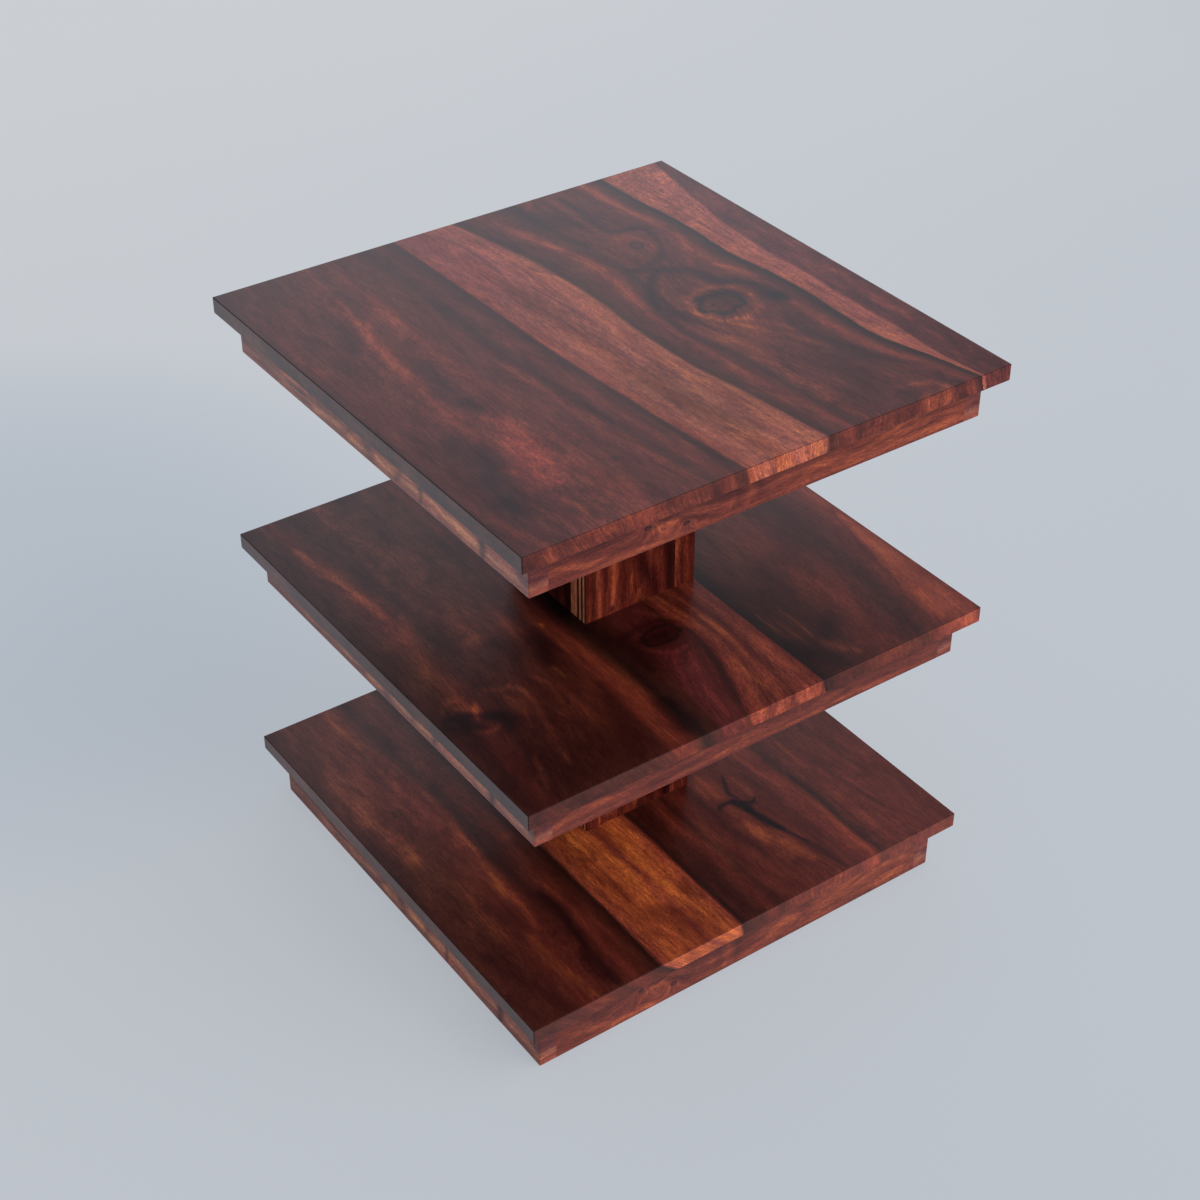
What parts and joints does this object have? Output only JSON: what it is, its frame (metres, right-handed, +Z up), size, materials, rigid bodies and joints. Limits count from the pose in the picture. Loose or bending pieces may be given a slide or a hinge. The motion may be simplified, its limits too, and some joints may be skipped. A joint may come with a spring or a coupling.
{
  "type": "nightstand",
  "caption": "Square open nightstand in dark rosewood: equal tiered shelves on framed aprons, joined by a central box column and standing on a low plinth.",
  "frame": {"origin": "on the floor, under the middle of the plinth", "axes": "+Z up, -Y out of the front, +X to the right seen from the front; the slabs' grain runs along Y"},
  "size_m": [0.5, 0.5, 0.577],
  "materials": {
    "rosewood_slab": "satin, oiled and lightly lacquered",
    "rosewood_rail": "satin, oiled and lightly lacquered",
    "rosewood_column": "satin, oiled and lightly lacquered",
    "plain_hardwood": "planed, unfinished",
    "zinc_steel": "zinc plated"
  },
  "bodies": {
    "root": {"base_back_rail": "rosewood_rail", "base_corner_block_back_left": "plain_hardwood", "base_corner_block_back_right": "plain_hardwood", "base_corner_block_front_left": "plain_hardwood", "base_corner_block_front_right": "plain_hardwood", "base_front_rail": "rosewood_rail", "base_left_rail": "rosewood_rail", "base_right_rail": "rosewood_rail", "base_slab_stave_1": "rosewood_slab", "base_slab_stave_2": "rosewood_slab", "base_slab_stave_3": "rosewood_slab", "base_slab_stave_4": "rosewood_slab", "base_slab_stave_5": "rosewood_slab", "lower_column_back_board": "rosewood_column", "lower_column_front_board": "rosewood_column", "lower_column_left_board": "rosewood_column", "lower_column_right_board": "rosewood_column", "lower_foot_block": "plain_hardwood", "lower_foot_screws": "zinc_steel", "lower_head_cleat_back": "plain_hardwood", "lower_head_cleat_front": "plain_hardwood", "lower_head_cleat_left": "plain_hardwood", "lower_head_cleat_right": "plain_hardwood", "middle_back_rail": "rosewood_rail", "middle_corner_block_back_left": "plain_hardwood", "middle_corner_block_back_right": "plain_hardwood", "middle_corner_block_front_left": "plain_hardwood", "middle_corner_block_front_right": "plain_hardwood", "middle_front_rail": "rosewood_rail", "middle_left_rail": "rosewood_rail", "middle_right_rail": "rosewood_rail", "middle_slab_stave_1": "rosewood_slab", "middle_slab_stave_2": "rosewood_slab", "middle_slab_stave_3": "rosewood_slab", "middle_slab_stave_4": "rosewood_slab", "top_back_rail": "rosewood_rail", "top_corner_block_back_left": "plain_hardwood", "top_corner_block_back_right": "plain_hardwood", "top_corner_block_front_left": "plain_hardwood", "top_corner_block_front_right": "plain_hardwood", "top_front_rail": "rosewood_rail", "top_left_rail": "rosewood_rail", "top_right_rail": "rosewood_rail", "top_slab_stave_1": "rosewood_slab", "top_slab_stave_2": "rosewood_slab", "top_slab_stave_3": "rosewood_slab", "top_slab_stave_4": "rosewood_slab", "top_slab_stave_5": "rosewood_slab", "upper_column_back_board": "rosewood_column", "upper_column_front_board": "rosewood_column", "upper_column_left_board": "rosewood_column", "upper_column_right_board": "rosewood_column", "upper_foot_block": "plain_hardwood", "upper_foot_screws": "zinc_steel", "upper_head_cleat_back": "plain_hardwood", "upper_head_cleat_front": "plain_hardwood", "upper_head_cleat_left": "plain_hardwood", "upper_head_cleat_right": "plain_hardwood"}
  },
  "joints": []
}
